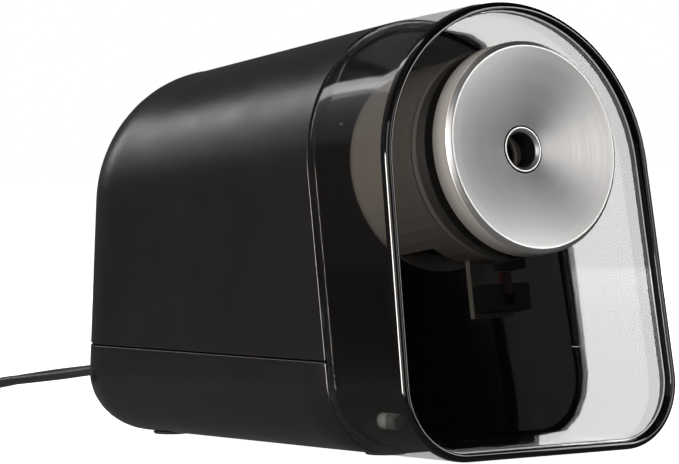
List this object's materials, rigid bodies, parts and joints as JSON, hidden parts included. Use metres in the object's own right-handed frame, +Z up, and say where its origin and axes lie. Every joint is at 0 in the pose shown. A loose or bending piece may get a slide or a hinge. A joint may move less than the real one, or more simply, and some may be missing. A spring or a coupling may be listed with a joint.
{
  "type": "electric pencil sharpener",
  "caption": "Desktop electric pencil sharpener: arch-topped black body, see-through shavings bin in front with a satin dished knob round the pencil hole, flat cord and plug.",
  "frame": {"origin": "on the desk under the middle of the body's box, without the cord", "axes": "+Z up, the front face looks along -Y, X is the width"},
  "size_m": [0.1224, 0.3694, 0.1086],
  "materials": {
    "smoke_plastic": "gloss",
    "gloss_black": "mirror gloss",
    "black_shell": "fine matte moulded",
    "black_moulding": "matte",
    "grey_moulding": "satin",
    "white_nylon": "satin",
    "satin_aluminium": "spun satin",
    "tool_steel": "ground",
    "zinc_steel": "zinc plated",
    "bronze": "sintered",
    "copper": "enamelled wire and laminations",
    "nickel": "bright plated",
    "rubber": "matte",
    "cord_vinyl": "satin vinyl",
    "circuit_board": "solder mask",
    "red_wire": "vinyl",
    "switch_red": "satin"
  },
  "bodies": {
    "bin": {"bin_shell": "smoke_plastic", "face_plate": "gloss_black", "knob_core": "black_moulding", "knob_cover": "satin_aluminium", "pencil_guide": "satin_aluminium"},
    "chassis": {"main_housing": "black_shell", "base_tray": "black_shell", "bulkhead": "gloss_black", "cutter_shroud": "grey_moulding", "shroud_cap": "grey_moulding", "ring_gear": "bronze", "front_bush": "bronze", "rear_bush": "bronze", "motor_plate": "zinc_steel", "plate_post_1": "zinc_steel", "plate_post_2": "zinc_steel", "plate_post_3": "zinc_steel", "idler_shaft": "nickel", "motor_can": "zinc_steel", "motor_end_bell": "black_moulding", "motor_screw_1": "zinc_steel", "motor_screw_2": "zinc_steel", "start_switch": "black_moulding", "interlock_switch": "black_moulding", "rectifier_board": "circuit_board", "rectifier_block": "black_moulding", "capacitor": "nickel", "motor_lead_red": "red_wire", "motor_lead_black": "black_moulding", "strain_relief": "rubber", "foot_1": "rubber", "foot_2": "rubber", "foot_3": "rubber", "foot_4": "rubber", "tray_screw_1": "zinc_steel", "tray_screw_2": "zinc_steel", "tray_screw_3": "zinc_steel", "tray_screw_4": "zinc_steel", "shroud_screw_1": "zinc_steel", "shroud_screw_2": "zinc_steel", "shroud_screw_3": "zinc_steel", "power_cord": "cord_vinyl", "cord_coil": "cord_vinyl", "cord_tail": "cord_vinyl", "plug_body": "black_moulding", "plug_blade_1": "nickel", "plug_blade_2": "nickel"},
    "carrier": {"cutter_carrier": "zinc_steel", "cutter_axle": "nickel", "carrier_spindle": "nickel", "output_gear": "white_nylon"},
    "cutter": {"helical_cutter": "tool_steel", "cutter_pinion": "tool_steel"},
    "idler": {"idler_gear": "white_nylon"},
    "armature_set": {"motor_shaft": "nickel", "armature": "copper", "motor_pinion": "bronze"},
    "slider": {"start_slider": "black_moulding"},
    "button": {"switch_button": "switch_red"},
    "interlock": {"interlock_plunger": "white_nylon"}
  },
  "joints": [
    {"name": "bin_slide", "type": "slide", "parent": "chassis", "child": "bin", "axis": [0, -1, 0], "range_m": [0, 0.08]},
    {"name": "carrier_spin", "type": "hinge", "parent": "chassis", "child": "carrier", "pos_m": [0, -0.04326, 0.06903], "axis": [0, 0.9903, -0.1392], "continuous": true},
    {"name": "cutter_spin", "type": "hinge", "parent": "carrier", "child": "cutter", "pos_m": [-0.00502, -0.05724, 0.08186], "axis": [0.0806, 0.948, -0.3079], "continuous": true},
    {"name": "idler_spin", "type": "hinge", "parent": "chassis", "child": "idler", "pos_m": [0.01759, -0.0058, 0.04818], "axis": [0, 0.9903, -0.1392], "continuous": true},
    {"name": "motor_spin", "type": "hinge", "parent": "chassis", "child": "armature_set", "pos_m": [0, 0.01393, 0.04483], "axis": [0, 0.9903, -0.1392], "continuous": true},
    {"name": "slider_press", "type": "slide", "parent": "chassis", "child": "slider", "axis": [0, -0.1392, -0.9903], "range_m": [0, 0.002], "stiffness_N_per_m": 300},
    {"name": "button_press", "type": "slide", "parent": "chassis", "child": "button", "axis": [0, -0.1392, -0.9903], "range_m": [0, 0.002]},
    {"name": "interlock_press", "type": "slide", "parent": "chassis", "child": "interlock", "axis": [0, -1, 0], "range_m": [0, 0.0024]}
  ],
  "couplings": [
    {"joint": "carrier_spin", "follows": "motor_spin", "ratio": 0.088235},
    {"joint": "cutter_spin", "follows": "motor_spin", "ratio": -0.26471},
    {"joint": "idler_spin", "follows": "motor_spin", "ratio": -0.29412},
    {"joint": "button_press", "follows": "slider_press", "ratio": 1},
    {"joint": "interlock_press", "follows": "bin_slide", "ratio": 0.03}
  ]
}
